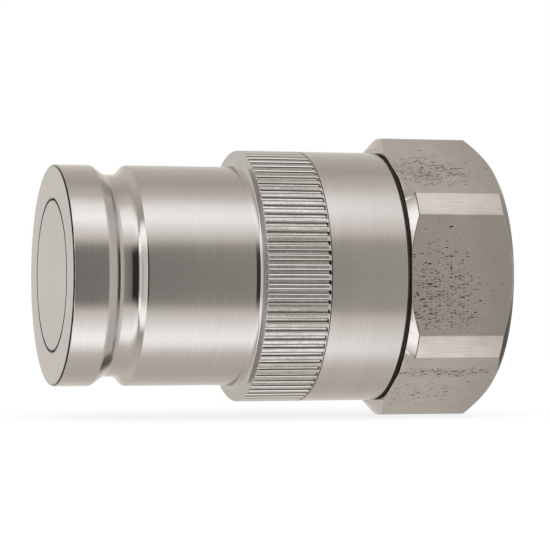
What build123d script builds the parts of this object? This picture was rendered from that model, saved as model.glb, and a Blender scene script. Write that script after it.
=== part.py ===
"""Male half of a flat face quick coupler, size 25, with a female pipe port.

The axis of the coupler is X. X = 0 is the mating face of the nose, +X points to the port, +Z is up.
All sizes are in millimetres.
"""
from build123d import *

import os
from math import cos, pi, radians, tan

# Nose, which the female half grips
NOSE_DIAMETER = 36.0
NOSE_RING_WIDTH = 5.6
NOSE_EDGE = 0.4
FLANGE_LENGTH = 6.0
FLANGE_SHOULDER = 1.1
BALL_GROOVE_DEPTH = 1.53
BALL_GROOVE_FLOOR = 2.55
BALL_GROOVE_FRONT_ANGLE = 37.0
BALL_GROOVE_REAR_ANGLE = 50.0

# Collar behind the nose, one piece with it
COLLAR_HEIGHT = 2.7
COLLAR_START = 30.65
COLLAR_LENGTH = 23.33
COLLAR_EDGE = 0.25
COLLAR_ROOT_FILLET = 0.6
KNURL_LENGTH = 10.5
KNURL_PITCH = 1.57
KNURL_GROOVE_WIDTH = 0.76
KNURL_DEPTH = 0.28
KNURL_FIRST_ANGLE = 1.2
RELIEF_WIDTH = 0.3

# Poppet, which closes the bore of the nose ring
POPPET_CLEARANCE = 0.05
FACE_CHAMFER = 0.45
STOP_LAND = 1.8
STOP_DEPTH = 2.5
STOP_CLEARANCE = 0.05
LUG_COUNT = 4
LUG_ANGLE = 28.0
LUG_LENGTH = 2.5
LUG_CLEARANCE = 0.07
HEAD_HUB_LENGTH = 1.8
STROKE = 13.0

# Seal gland in the nose
LIP_LENGTH = 2.6
SEAL_WIDTH = 2.9
SEAL_CLEARANCE = 0.03
GLAND_DEPTH = 2.25
BACKUP_WIDTH = 1.25

# Screwed joint between the body and the hex adapter
JOINT_SHOULDER = 2.2
JOINT_CLEARANCE = 0.05
JOINT_THREAD_RISE = 0.9
JOINT_THREAD_PITCH = 1.5
JOINT_THREAD_LENGTH = 7.3
JOINT_LAND = 1.0
JOINT_GLAND_DEPTH = 2.2
JOINT_GAP = 0.5
GAP_RING_DEPTH = 0.6

# Stem and what holds it in the guide
STEM_DIAMETER = 10.0
STEM_CLEARANCE = 0.04
STEM_THREAD_DIAMETER = 8.0
STEM_THREAD_LENGTH = 10.0
WASHER_GAP = 0.3
WASHER_THICKNESS = 1.0
CIRCLIP_THICKNESS = 1.1
CIRCLIP_HEIGHT = 2.6
CIRCLIP_GROOVE_DEPTH = 0.6
CIRCLIP_OPENING = 36.0
STEM_TAIL = 1.0

# Guide spider with its bush
BUSH_WALL = 1.5
BUSH_INSET = 0.4
HUB_WALL = 1.06
HUB_GAP = 1.5
SPIDER_THICKNESS = 3.0
SPIDER_RIM = 2.9
SPIDER_ARMS = 4
SPIDER_ARM_WIDTH = 3.6

# Spring round the hub
SPRING_WIRE = 1.6
SPRING_TURNS = 5.25
SPRING_CLEARANCE = 0.6
SPRING_SEAT_MARGIN = 0.6
WIRE_SIDES = 8

# Hex adapter with the port. Its flats stand just proud of the collar, 42 mm across.
HEX_FLAT_RISE = 0.3
HEX_CORNER_HEIGHT = 2.15
HEX_FRONT_MARGIN = 0.4
HEX_BACK_INSET = 0.6
HEX_LENGTH = 17.65
HEX_FRONT_ANGLE = 35.0
HEX_BACK_ANGLE = 36.5
ADAPTER_WALL = 2.9
ADAPTER_ENTRY = 1.8
PORT_DIAMETER = 33.249
PORT_THREAD_PITCH = 2.309
PORT_THREAD_LENGTH = 16.0
PORT_RUNOUT = 1.0
PORT_CHAMFER = 0.9

# Outside of the body, along the axis
nose_radius = NOSE_DIAMETER / 2
groove_radius = nose_radius - BALL_GROOVE_DEPTH
groove_floor_start = FLANGE_LENGTH + BALL_GROOVE_DEPTH / tan(radians(BALL_GROOVE_FRONT_ANGLE))
groove_floor_end = groove_floor_start + BALL_GROOVE_FLOOR
groove_end = groove_floor_end + BALL_GROOVE_DEPTH / tan(radians(BALL_GROOVE_REAR_ANGLE))
collar_radius = nose_radius + COLLAR_HEIGHT
collar_end = COLLAR_START + COLLAR_LENGTH
knurl_end = COLLAR_START + KNURL_LENGTH
knurl_floor_radius = collar_radius - KNURL_DEPTH
knurl_teeth = round(2 * pi * collar_radius / KNURL_PITCH)

# Nose bore, gland and chamber
nose_bore_radius = nose_radius - NOSE_RING_WIDTH
poppet_radius = nose_bore_radius - POPPET_CLEARANCE
gland_radius = nose_bore_radius + GLAND_DEPTH
seal_start = LIP_LENGTH + BACKUP_WIDTH
rear_backup_start = seal_start + SEAL_WIDTH
gland_end = rear_backup_start + BACKUP_WIDTH
chamber_radius = nose_bore_radius + STOP_DEPTH
stop_cone_start = gland_end + STOP_LAND
stop_cone_end = stop_cone_start + STOP_DEPTH
head_shoulder = stop_cone_end + LUG_LENGTH
head_end = head_shoulder + HEAD_HUB_LENGTH

# Screwed joint. A thread that stays screwed up is drawn as a plain cylinder at its pitch radius,
# which lies 0.325 of the pitch under its major radius.
joint_bore_radius = chamber_radius + JOINT_SHOULDER
joint_land_radius = joint_bore_radius - JOINT_CLEARANCE
joint_gland_radius = joint_bore_radius - JOINT_GLAND_DEPTH
joint_thread_radius = joint_bore_radius + JOINT_THREAD_RISE - 0.325 * JOINT_THREAD_PITCH
joint_step = joint_thread_radius - joint_bore_radius
joint_thread_start = collar_end - JOINT_THREAD_LENGTH
joint_gland_end = joint_thread_start - JOINT_LAND
joint_backup_start = joint_gland_end - BACKUP_WIDTH
joint_gland_start = joint_backup_start - SEAL_WIDTH
spigot_start = joint_gland_start - JOINT_LAND

# Guide, spring and stem, from the axis outwards
spider_start = spigot_start - SPIDER_THICKNESS
stem_radius = STEM_DIAMETER / 2
stem_thread_radius = STEM_THREAD_DIAMETER / 2
stem_start = head_end - STEM_THREAD_LENGTH
bush_bore_radius = stem_radius + STEM_CLEARANCE
bush_radius = bush_bore_radius + BUSH_WALL
hub_radius = bush_radius + HUB_WALL
hub_start = head_end + STROKE + HUB_GAP
spring_radius = hub_radius + SPRING_CLEARANCE + SPRING_WIRE / 2
spring_seat_radius = spring_radius + SPRING_WIRE / 2 + SPRING_SEAT_MARGIN
washer_start = spigot_start + WASHER_GAP
circlip_start = washer_start + WASHER_THICKNESS
circlip_end = circlip_start + CIRCLIP_THICKNESS
circlip_groove_radius = stem_radius - CIRCLIP_GROOVE_DEPTH
stem_end = circlip_end + STEM_TAIL

# Hex adapter. The port thread is open to a mating part, so its bore is drawn at the major radius.
hex_start = collar_end + JOINT_GAP
hex_end = hex_start + HEX_LENGTH
hex_flat_radius = collar_radius + HEX_FLAT_RISE
hex_front_radius = hex_flat_radius + HEX_FRONT_MARGIN
hex_back_radius = hex_flat_radius - HEX_BACK_INSET
hex_land_radius = hex_flat_radius + HEX_CORNER_HEIGHT
adapter_bore_radius = joint_gland_radius - ADAPTER_WALL
port_radius = PORT_DIAMETER / 2
port_drill_radius = port_radius - 0.64 * PORT_THREAD_PITCH
port_thread_end = hex_end - PORT_THREAD_LENGTH
port_drill_end = port_thread_end - PORT_RUNOUT


def turned(*corners):
    """Solid of revolution about X. A corner is (x, radius) or (x, radius, rounding)."""
    points = [corner[:2] for corner in corners]
    roundings = [corner[2] if len(corner) > 2 else 0 for corner in corners]
    return revolve(make_face(FilletPolyline(*points, radius=roundings, close=True)), Axis.X)


def ring(start, end, inner_radius, outer_radius):
    """Plain ring from x = start to x = end."""
    return turned((start, inner_radius), (start, outer_radius), (end, outer_radius), (end, inner_radius))


def squeezed_ring(start, end, inner_radius, outer_radius):
    """Rubber ring as it sits in its gland, flattened by the walls round it."""
    corner = 0.29 * min(end - start, outer_radius - inner_radius)
    return turned(
        (start, inner_radius + corner),
        (start, outer_radius - corner),
        (start + corner, outer_radius),
        (end - corner, outer_radius),
        (end, outer_radius - corner),
        (end, inner_radius + corner),
        (end - corner, inner_radius),
        (start + corner, inner_radius),
    )


def sector(start, end, inner_radius, outer_radius, angle, middle):
    """Piece of a ring, angle degrees wide about the direction middle, counted from +Z towards -Y."""
    face = make_face(
        Polyline(
            (start, 0, inner_radius),
            (start, 0, outer_radius),
            (end, 0, outer_radius),
            (end, 0, inner_radius),
            close=True,
        )
    )
    return revolve(face, Axis.X, angle).rotate(Axis.X, middle - angle / 2)


def knurl_grooves():
    """Cutters for the straight grooves of the grip, all round the collar."""
    half_floor = KNURL_GROOVE_WIDTH / 2 - KNURL_DEPTH
    half_top = half_floor + 2 * KNURL_DEPTH
    top_radius = knurl_floor_radius + 2 * KNURL_DEPTH
    section = make_face(
        Polyline(
            (COLLAR_START, -half_floor, knurl_floor_radius),
            (COLLAR_START, -half_top, top_radius),
            (COLLAR_START, half_top, top_radius),
            (COLLAR_START, half_floor, knurl_floor_radius),
            close=True,
        )
    )
    cutter = extrude(section, KNURL_LENGTH + RELIEF_WIDTH / 2, dir=(1, 0, 0))
    # The first groove lies this far above the -Y side, and the others follow at an even step.
    first = 90 - KNURL_FIRST_ANGLE
    return [cutter.rotate(Axis.X, first + tooth * 360 / knurl_teeth) for tooth in range(knurl_teeth)]


def nose_body():
    """Nose ring, ball groove and knurled collar, turned from one bar."""
    blank = turned(
        (0, nose_bore_radius + FACE_CHAMFER),
        (0, nose_radius - NOSE_EDGE),
        (NOSE_EDGE, nose_radius),
        (FLANGE_LENGTH, nose_radius, FLANGE_SHOULDER),
        (groove_floor_start, groove_radius),
        (groove_floor_end, groove_radius),
        (groove_end, nose_radius),
        (COLLAR_START, nose_radius, COLLAR_ROOT_FILLET),
        (COLLAR_START, collar_radius - COLLAR_EDGE),
        (COLLAR_START + COLLAR_EDGE, collar_radius),
        (knurl_end, collar_radius),
        (knurl_end, knurl_floor_radius),
        (knurl_end + RELIEF_WIDTH, knurl_floor_radius),
        (knurl_end + RELIEF_WIDTH, collar_radius),
        (collar_end - COLLAR_EDGE, collar_radius),
        (collar_end, collar_radius - COLLAR_EDGE),
        (collar_end, joint_thread_radius),
        (joint_thread_start, joint_thread_radius),
        (joint_thread_start - joint_step, joint_bore_radius),
        (spider_start, joint_bore_radius),
        (spider_start, chamber_radius),
        (stop_cone_end, chamber_radius),
        (stop_cone_start, nose_bore_radius),
        (gland_end, nose_bore_radius),
        (gland_end, gland_radius),
        (LIP_LENGTH, gland_radius),
        (LIP_LENGTH, nose_bore_radius),
        (FACE_CHAMFER, nose_bore_radius),
    )
    return blank - knurl_grooves()


def nose_seal_oring():
    return squeezed_ring(seal_start, rear_backup_start, poppet_radius + SEAL_CLEARANCE, gland_radius)


def nose_seal_front_backup_ring():
    return ring(LIP_LENGTH, seal_start, nose_bore_radius, gland_radius)


def nose_seal_rear_backup_ring():
    return ring(rear_backup_start, gland_end, nose_bore_radius, gland_radius)


def poppet_head():
    """Flat head with guide lugs, which stop on the cone behind the nose bore."""
    lug_radius = chamber_radius - LUG_CLEARANCE
    cone_start = stop_cone_start - POPPET_CLEARANCE + STOP_CLEARANCE
    head = turned(
        (0, 0),
        (0, poppet_radius - FACE_CHAMFER),
        (FACE_CHAMFER, poppet_radius),
        (cone_start, poppet_radius),
        (cone_start + poppet_radius - spring_seat_radius, spring_seat_radius),
        (head_shoulder, spring_seat_radius),
        (head_shoulder, hub_radius),
        (head_end, hub_radius),
        (head_end, stem_thread_radius),
        (stem_start, stem_thread_radius),
        (stem_start - stem_thread_radius / 2, 0),
    )
    lug_ring = turned(
        (cone_start, poppet_radius),
        (cone_start + lug_radius - poppet_radius, lug_radius),
        (head_shoulder, lug_radius),
        (head_shoulder, hub_radius),
        (cone_start, hub_radius),
    )
    for lug in range(LUG_COUNT):
        middle = lug * 360 / LUG_COUNT
        head += lug_ring & sector(cone_start, head_shoulder, hub_radius, chamber_radius, LUG_ANGLE, middle)
    return head


def poppet_stem():
    """Ground rod, screwed into the head, with a groove for its circlip."""
    edge = CIRCLIP_GROOVE_DEPTH / 2
    return turned(
        (stem_start, 0),
        (stem_start, stem_thread_radius),
        (head_end, stem_thread_radius),
        (head_end, stem_radius),
        (circlip_start, stem_radius),
        (circlip_start, circlip_groove_radius),
        (circlip_end, circlip_groove_radius),
        (circlip_end, stem_radius),
        (stem_end - edge, stem_radius),
        (stem_end, stem_radius - edge),
        (stem_end, 0),
    )


def stem_washer():
    return ring(washer_start, circlip_start, stem_radius, hub_radius)


def stem_circlip():
    outer_radius = circlip_groove_radius + CIRCLIP_HEIGHT
    clip = ring(circlip_start, circlip_end, circlip_groove_radius, outer_radius)
    return clip - sector(circlip_start, circlip_end, 0, 2 * outer_radius, CIRCLIP_OPENING, 0)


def guide_spider():
    """Clamped rim, arms with flow windows between them, and a long hub inside the spring."""
    rim_inner_radius = joint_bore_radius - SPIDER_RIM
    spider = turned(
        (hub_start, bush_radius),
        (hub_start, hub_radius),
        (spider_start, hub_radius),
        (spider_start, joint_land_radius),
        (spigot_start, joint_land_radius),
        (spigot_start, bush_radius),
    )
    arm_angle = 360 * SPIDER_ARM_WIDTH / (pi * (rim_inner_radius + spring_seat_radius))
    step = 360 / SPIDER_ARMS
    windows = [
        sector(
            spider_start,
            spigot_start,
            spring_seat_radius,
            rim_inner_radius,
            step - arm_angle,
            step * (arm + 0.5),
        )
        for arm in range(SPIDER_ARMS)
    ]
    return spider - windows


def guide_bush():
    return ring(hub_start + BUSH_INSET, spigot_start - BUSH_INSET, bush_bore_radius, bush_radius)


def poppet_spring():
    """Coil between the head's shoulder and the spider, with its ends ground flat."""
    length = spider_start - head_shoulder
    path = Helix(length / SPRING_TURNS, length + 2 * SPRING_WIRE, spring_radius)
    section = Plane(path @ 0, z_dir=path % 0) * RegularPolygon(SPRING_WIRE / 2, WIRE_SIDES)
    coil = sweep(section, path, is_frenet=True)
    between_seats = Cylinder(
        spring_seat_radius, length, align=(Align.CENTER, Align.CENTER, Align.MIN)
    )
    ground = coil & Pos(0, 0, SPRING_WIRE) * between_seats
    return Pos(head_shoulder - SPRING_WIRE, 0, 0) * Rot(0, 90, 0) * ground


def body_joint_oring():
    return squeezed_ring(joint_gland_start, joint_backup_start, joint_gland_radius, joint_bore_radius)


def body_joint_backup_ring():
    return ring(joint_backup_start, joint_gland_end, joint_gland_radius, joint_bore_radius)


def joint_gap_ring():
    """Rubber ring that closes the gap between the collar and the hex."""
    outer_radius = collar_radius - GAP_RING_DEPTH
    edge = JOINT_GAP / 4
    return turned(
        (collar_end, joint_thread_radius),
        (collar_end, outer_radius - edge),
        (collar_end + edge, outer_radius),
        (hex_start - edge, outer_radius),
        (hex_start, outer_radius - edge),
        (hex_start, joint_thread_radius),
    )


def hex_adapter():
    """Spigot with its seal gland and thread, hex with turned corners, and the pipe port."""
    front_chamfer = (hex_land_radius - hex_front_radius) * tan(radians(HEX_FRONT_ANGLE))
    back_chamfer = (hex_land_radius - hex_back_radius) * tan(radians(HEX_BACK_ANGLE))
    blank = turned(
        (spigot_start, adapter_bore_radius + ADAPTER_ENTRY),
        (spigot_start, joint_land_radius),
        (joint_gland_start, joint_land_radius),
        (joint_gland_start, joint_gland_radius),
        (joint_gland_end, joint_gland_radius),
        (joint_gland_end, joint_land_radius),
        (joint_thread_start - joint_step, joint_land_radius),
        (joint_thread_start, joint_thread_radius),
        (hex_start, joint_thread_radius),
        (hex_start, hex_front_radius),
        (hex_start + front_chamfer, hex_land_radius),
        (hex_end - back_chamfer, hex_land_radius),
        (hex_end, hex_back_radius),
        (hex_end, port_radius + PORT_CHAMFER),
        (hex_end - PORT_CHAMFER, port_radius),
        (port_thread_end, port_radius),
        (port_thread_end, port_drill_radius),
        (port_drill_end, port_drill_radius),
        (port_drill_end - port_drill_radius + adapter_bore_radius, adapter_bore_radius),
        (spigot_start + ADAPTER_ENTRY, adapter_bore_radius),
    )
    # Two corners of the hexagon point along +Z and -Z.
    corner_radius = hex_flat_radius / cos(radians(30))
    hexagon = Plane.YZ.offset(hex_start) * RegularPolygon(corner_radius, 6, rotation=90)
    prism = extrude(hexagon, HEX_LENGTH)
    spigot = Plane.YZ.offset(spigot_start) * Circle(joint_thread_radius)
    return blank & (prism + extrude(spigot, hex_start - spigot_start))


PIECES = (
    nose_body,
    nose_seal_oring,
    nose_seal_front_backup_ring,
    nose_seal_rear_backup_ring,
    poppet_head,
    poppet_stem,
    poppet_spring,
    stem_washer,
    stem_circlip,
    guide_spider,
    guide_bush,
    body_joint_oring,
    body_joint_backup_ring,
    joint_gap_ring,
    hex_adapter,
)

os.makedirs("parts", exist_ok=True)
for piece in PIECES:
    solid = piece()
    print(f"{piece.__name__}: {solid.volume / 1000:.2f} cm3")
    export_step(solid, f"parts/{piece.__name__}.step")
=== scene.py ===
"""Looks of the male half of a flat face quick coupler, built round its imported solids.

Sizes are in millimetres and are scaled to metres where a mesh, lamp or camera is made. The coupler's
axis is X, its mating face is at x = 0 and its port looks along +X.
"""
from math import acos, cos, degrees, pi, radians, sin, sqrt, tan

import bmesh
import bpy
import numpy as np
from mathutils import Matrix, Vector


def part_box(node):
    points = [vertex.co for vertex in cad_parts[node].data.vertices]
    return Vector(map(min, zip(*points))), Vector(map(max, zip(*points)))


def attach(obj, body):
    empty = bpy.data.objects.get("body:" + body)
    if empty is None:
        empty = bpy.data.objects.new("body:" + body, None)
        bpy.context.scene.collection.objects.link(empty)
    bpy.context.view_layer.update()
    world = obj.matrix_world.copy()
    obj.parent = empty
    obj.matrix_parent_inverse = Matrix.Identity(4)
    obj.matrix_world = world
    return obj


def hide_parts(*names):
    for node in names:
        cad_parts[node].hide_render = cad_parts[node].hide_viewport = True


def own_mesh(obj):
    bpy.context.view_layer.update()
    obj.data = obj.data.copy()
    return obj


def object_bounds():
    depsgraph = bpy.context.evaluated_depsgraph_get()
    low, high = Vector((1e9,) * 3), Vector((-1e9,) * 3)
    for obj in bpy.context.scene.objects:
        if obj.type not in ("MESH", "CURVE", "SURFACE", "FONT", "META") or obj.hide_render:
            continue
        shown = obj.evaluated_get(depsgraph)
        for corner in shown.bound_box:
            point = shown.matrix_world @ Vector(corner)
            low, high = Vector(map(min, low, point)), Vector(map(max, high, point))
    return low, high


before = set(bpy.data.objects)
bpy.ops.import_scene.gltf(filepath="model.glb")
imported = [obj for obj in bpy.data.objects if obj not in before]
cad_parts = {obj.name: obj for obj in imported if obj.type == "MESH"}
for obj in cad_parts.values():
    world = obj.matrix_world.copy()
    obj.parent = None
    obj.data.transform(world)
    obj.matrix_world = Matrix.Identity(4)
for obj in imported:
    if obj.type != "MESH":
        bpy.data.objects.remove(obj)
cad_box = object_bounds()
MM = 0.001

# Camera, fitted to the outline in the photograph
CAMERA_AIM = (37.67, 0.0, 0.198)
CAMERA_DISTANCE = 428.5
CAMERA_AZIMUTH = -16.058
CAMERA_ELEVATION = -0.724
CAMERA_LENS = 168.96
CAMERA_SENSOR = 36.0
CAMERA_NEAR = 10.0
CAMERA_FAR = 50000.0

# Nose
NOSE_RADIUS = 18.0
NOSE_BORE_RADIUS = 12.4
FACE_CHAMFER = 0.16
RIM_CHAMFER = (0.3, 0.22)
FLANGE_END = 5.85
FLANGE_ROUNDING = 0.8
GROOVE_RADIUS = 16.47
GROOVE_FLOOR = (8.03, 10.58)
GROOVE_END = 11.864
GROOVE_FILLETS = (1.4, 2.0)
GROOVE_EDGE = 0.45
COLLAR_ROOT_FILLET = 1.7

# Knurled collar
COLLAR_START = 30.65
COLLAR_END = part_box("nose_body")[1].x / MM
COLLAR_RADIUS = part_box("nose_body")[1].y / MM
COLLAR_EDGE = 0.12
COLLAR_REAR_EDGE = 0.08
KNURL_END = COLLAR_START + 10.5
KNURL_RUNOUT = 0.4
RELIEF_END = KNURL_END + 0.16
RELIEF_DEPTH = 0.1

# Section of a knurl groove: its middle's depth, its width, how soft its corners are, how wide a wall is, how
# far the floor rises to the walls, and how wide and deep the bevel beside the land is
KNURL_TEETH = 83
KNURL_FIRST_ANGLE = 1.2
KNURL_DEPTH = 0.28
KNURL_GROOVE_WIDTH = 0.72
KNURL_EDGE = 0.02
KNURL_WALL = 0.09
KNURL_HOLLOW = 0.045
KNURL_BEVEL = 0.17
KNURL_BEVEL_DROP = 0.095

# Inside of the nose body
GLAND_RADIUS = 14.65
GLAND = (2.6, 8.0)
STOP_CONE = (9.8, 12.3)
CHAMBER_RADIUS = 14.9
SPIDER_RIM = 3.0
SPIDER_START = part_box("guide_spider")[1].x / MM - SPIDER_RIM
JOINT_BORE_RADIUS = 17.1
JOINT_THREAD_RADIUS = 17.513
JOINT_THREAD_START = 46.68
JOINT_THREAD_LEAD = JOINT_THREAD_START - 0.413

# Hex adapter and its port
HEX_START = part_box("joint_gap_ring")[1].x / MM
HEX_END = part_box("hex_adapter")[1].x / MM
HEX_FLAT_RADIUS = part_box("hex_adapter")[1].y / MM
HEX_LAND_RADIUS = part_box("hex_adapter")[1].z / MM
HEX_FRONT_RADIUS = 21.4
HEX_BACK_RADIUS = 20.4
HEX_FRONT_ANGLE = 35.0
HEX_BACK_ANGLE = 36.5
HEX_EDGE_BREAK = 0.06
HEX_CORNER_BLEND = 0.012
HEX_CORNER_START = HEX_START + (HEX_LAND_RADIUS - HEX_FRONT_RADIUS) * tan(radians(HEX_FRONT_ANGLE))
SPIGOT_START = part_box("hex_adapter")[0].x / MM
SPIGOT_RADIUS = JOINT_BORE_RADIUS - 0.05
JOINT_GLAND = (41.53, 45.68)
JOINT_GLAND_RADIUS = 14.9
ADAPTER_BORE_RADIUS = 12.0
ADAPTER_ENTRY = 1.8
PORT_RADIUS = 16.6245
PORT_CREST_RADIUS = 15.147
PORT_PITCH = 2.309
PORT_LENGTH = 16.0
PORT_CHAMFER = 0.9
PORT_RUNOUT = 1.0
THREAD_FLAT = 0.17
THREAD_ROWS = 106

# Poppet
POPPET_RADIUS = 12.28
POPPET_CONE_START = 9.8
LUG_RADIUS = 14.83
LUG_COUNT = 4
LUG_ANGLE = 28.0
LUG_EDGE_BREAK = 0.12
HEAD_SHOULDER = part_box("poppet_spring")[0].x / MM
HEAD_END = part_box("poppet_head")[1].x / MM
HEAD_BACK_RADIUS = 10.4
HUB_RADIUS = 7.6
STEM_THREAD_RADIUS = 4.0
STEM_HOLE_DEPTH = 10.0
STEM_HOLE_POINT = 2.0

# Spring
SPRING_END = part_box("poppet_spring")[1].x / MM
SPRING_RADIUS = 9.0
SPRING_WIRE = 1.6
SPRING_TURNS = 5.25
SPRING_TURN_STEPS = 64
SPRING_WIRE_SIDES = 16
SPRING_CLEARANCE = 0.01

# Steps in a rounding of a turned outline, where it is plain to see and where it only breaks an edge, and
# the share of a straight side that it takes at most
ARC_STEPS = 5
EDGE_STEPS = 2
EDGE_ROUNDING = 0.1
ARC_REACH = 0.48

# Degrees between two faces from which the edge between them is sharp
SHARP_ANGLE = 32.0

# Columns of a rubber ring, and the share of the nose body's columns that its plain parts keep: 1 in 3
SEAL_COLUMNS = 240
PLAIN_STEP = 3

# Rounding of a rubber ring's shoulders, as a share of its section
SEAL_BULGE = 0.42
GAP_RING_BULGE = 0.3

# Pitted patches of the drawn bar: middle, reach each way, and the share of places in the middle with a pit
PIT_PATCHES = [
    ((60.0, -12.6, 16.9), (8.6, 8.0, 3.9), 1.05),
    ((58.2, -21.0, -3.4), (10.4, 2.0, 9.8), 0.7),
    ((60.5, -21.0, 6.2), (5.5, 2.0, 3.0), 0.1),
    ((62.0, -14.8, -15.7), (9.4, 2.6, 1.4), 1.1),
    ((60.5, -8.5, -19.3), (8.0, 6.0, 3.0), 0.3),
    ((62.0, 21.0, 3.0), (8.0, 2.0, 7.0), 0.5),
    ((60.0, 10.0, 18.5), (7.0, 7.0, 4.0), 0.4),
    ((63.5, 13.4, -16.5), (6.5, 6.0, 4.0), 0.6),
]

# Pits: how far their rows are bent, the smallest and how much larger the largest is, as shares of a pit's
# room. Scratches between them: how they are stretched, and the noise in which they start and are full
PIT_WOBBLE = (1.7, 1.3, 0.0)
PIT_SMALLEST = 0.2
PIT_GROWTH = 0.4
SCRATCH_STRETCH = (0.35, 1.3, 1.0)
SCRATCH_NOISE = (0.64, 0.7)

# Changes of drawn lines along the bar and of turned lines round it, per metre
LINES_ALONG = 260.0
LINES_AROUND = 12.0

# All steel: its tint at a glancing angle, and the colour of the shade painted in its tight corners
EDGE_TINT = (0.8, 0.8, 0.8, 1.0)
PAINTED_SHADE_COLOUR = (0.012, 0.011, 0.01, 1.0)

# How much a surface faces along X where it starts to be an end and is one, and where it starts to be no side
# any more and is none
END_FACING = (0.9, 0.97)
SIDE_FACING = (0.05, 0.2)

# Dark lines of painted shade in tight corners: x, radius and width
RIM_LINE = (0.08, NOSE_RADIUS - 0.18, 0.38)
BORE_LINE = (0.1, NOSE_BORE_RADIUS + 0.05, 0.5)
RELIEF_LINE = (KNURL_END + 0.1, COLLAR_RADIUS - RELIEF_DEPTH, 0.12)
POPPET_LINE = (FACE_CHAMFER / 2, POPPET_RADIUS - FACE_CHAMFER / 2, 0.34)
HEX_LINE = (HEX_CORNER_START, HEX_LAND_RADIUS, 0.16)

# Turned steel: scatter of its faced ends, stretch of its highlights, and what its smudges, its lines and the
# polish of the nose change
FACE_SCATTER = 0.25
TURNED_STRETCH = 0.4
SMUDGE_TONE = 0.2
SMUDGE_ROUGHNESS = 0.08
LINE_ROUGHNESS = 0.05
NOSE_POLISH = -0.06

# Knurled collar: painted groove wall shade and edge highlight, and what the knurl and its marks change
PAINTED_WALL_SHADE = (0.07, 0.065, 0.06, 1.0)
PAINTED_EDGE_HIGHLIGHT = (0.52, 0.505, 0.49, 1.0)
KNURL_TONE = -0.1
KNURL_STREAK_TONE = 2.6
KNURL_DENT_TONE = 2.0
KNURL_DENT_SIZE = 0.6
KNURL_POLISH = -0.09
COLLAR_LINE_TONE = 0.15

# Drawn steel of the hexagon: its lines, lands, smudges, painted lighter front and darker rear, sides and
# pits
HEX_LINE_TONE = 0.45
HEX_LINE_DEPTH = 0.004
HEX_LAND_TONE = 0.8
HEX_SMUDGE_TONE = 0.45
HEX_SMUDGE_SIZE = 2.5
HEX_FRONT_PAINTED_LIGHT = 0.12
HEX_REAR_PAINTED_SHADE = -0.3
HEX_SIDE_ROUGHNESS = 0.16
PIT_SHADE = (0.03, 0.021, 0.014, 1.0)
PIT_DEPTH = 0.024
PIT_ROUGHNESS = 0.3

# Grain of rubber and plastic
GRAIN_SIZE = 0.25
GRAIN_DEPTH = 0.01
GRAIN_ROUGHNESS = 0.15


def rounded(corners, closed=True):
    """Outline through (x, radius[, rounding]) corners, with an arc at each corner that has a rounding."""
    points = [np.array(corner[:2], float) for corner in corners]
    outline = []
    for index, corner in enumerate(corners):
        here = points[index]
        rounding = corner[2] if len(corner) > 2 else 0
        if not rounding or (not closed and index in (0, len(corners) - 1)):
            outline.append(here)
            continue
        back = points[index - 1] - here
        ahead = points[(index + 1) % len(points)] - here
        reach_back, reach_ahead = np.linalg.norm(back), np.linalg.norm(ahead)
        back, ahead = back / reach_back, ahead / reach_ahead
        half = acos(max(-1, min(1, float(back @ ahead)))) / 2
        tangent = min(rounding / tan(half), ARC_REACH * reach_back, ARC_REACH * reach_ahead)
        radius = tangent * tan(half)
        middle = (back + ahead) / np.linalg.norm(back + ahead)
        centre = here + middle * radius / sin(half)
        start, end = here + back * tangent - centre, here + ahead * tangent - centre
        turn = pi - 2 * half
        steps = ARC_STEPS if rounding > EDGE_ROUNDING else EDGE_STEPS
        for step in range(steps + 1):
            share = step / steps
            spoke = (sin((1 - share) * turn) * start + sin(share * turn) * end) / sin(turn)
            outline.append(centre + spoke)
    return np.array(outline)


def spun(name, outlines, angles, closed=True, plain=None, plain_step=1):
    """Mesh object of one outline per angle about X, joined round. Angles run from +Z towards -Y.

    outlines has the shape (angles, points, 2). Each angle is a number, or one number per point. An open
    outline starts and ends on the axis. The points marked in plain are the same all round, so they keep
    only every plain_step-th angle.
    """
    outlines = np.asarray(outlines, float)
    columns, rows = outlines.shape[:2]
    turn = np.radians(angles).reshape(columns, -1)
    x, radius = outlines[:, :, 0], outlines[:, :, 1]
    vertices = np.stack([x, -radius * np.sin(turn), radius * np.cos(turn)], axis=2).reshape(-1, 3)
    grid = np.arange(columns * rows).reshape(columns, rows)
    if plain is not None:
        grid[:, plain] = np.repeat(grid[::plain_step, plain], plain_step, axis=0)
    beside = np.roll(grid, -1, axis=0)
    if closed:
        quads = np.stack([grid, np.roll(grid, -1, axis=1), np.roll(beside, -1, axis=1), beside], axis=2)
        faces = quads.reshape(-1, 4).tolist()
    else:
        grid[:, 0], grid[:, -1] = grid[0, 0], grid[0, -1]
        beside = np.roll(grid, -1, axis=0)
        quads = np.stack([grid[:, :-1], grid[:, 1:], beside[:, 1:], beside[:, :-1]], axis=2)
        faces = quads[:, 1:-1].reshape(-1, 4).tolist()
        faces += quads[:, 0][:, [0, 1, 2]].tolist()
        faces += quads[:, -1][:, [0, 1, 3]].tolist()
    if plain is not None:
        faces = [list(dict.fromkeys(face)) for face in faces]
        faces = [face for face in faces if len(face) > 2]
    return mesh_object(name, vertices, faces)


def mesh_object(name, vertices, faces):
    """Smooth-shaded object from vertices in millimetres, with outward normals and sharp edges kept."""
    mesh = bpy.data.meshes.new(name)
    mesh.from_pydata((np.asarray(vertices) * MM).tolist(), [], faces)
    work = bmesh.new()
    work.from_mesh(mesh)
    loose = [vertex for vertex in work.verts if not vertex.link_faces]
    bmesh.ops.delete(work, geom=loose, context="VERTS")
    bmesh.ops.recalc_face_normals(work, faces=work.faces)
    work.to_mesh(mesh)
    work.free()
    mesh.shade_smooth()
    mesh.set_sharp_from_angle(angle=radians(SHARP_ANGLE))
    piece = bpy.data.objects.new(name, mesh)
    bpy.context.scene.collection.objects.link(piece)
    weights = piece.modifiers.new("face_weighted_normals", "WEIGHTED_NORMAL")
    weights.keep_sharp = True
    return piece


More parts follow.
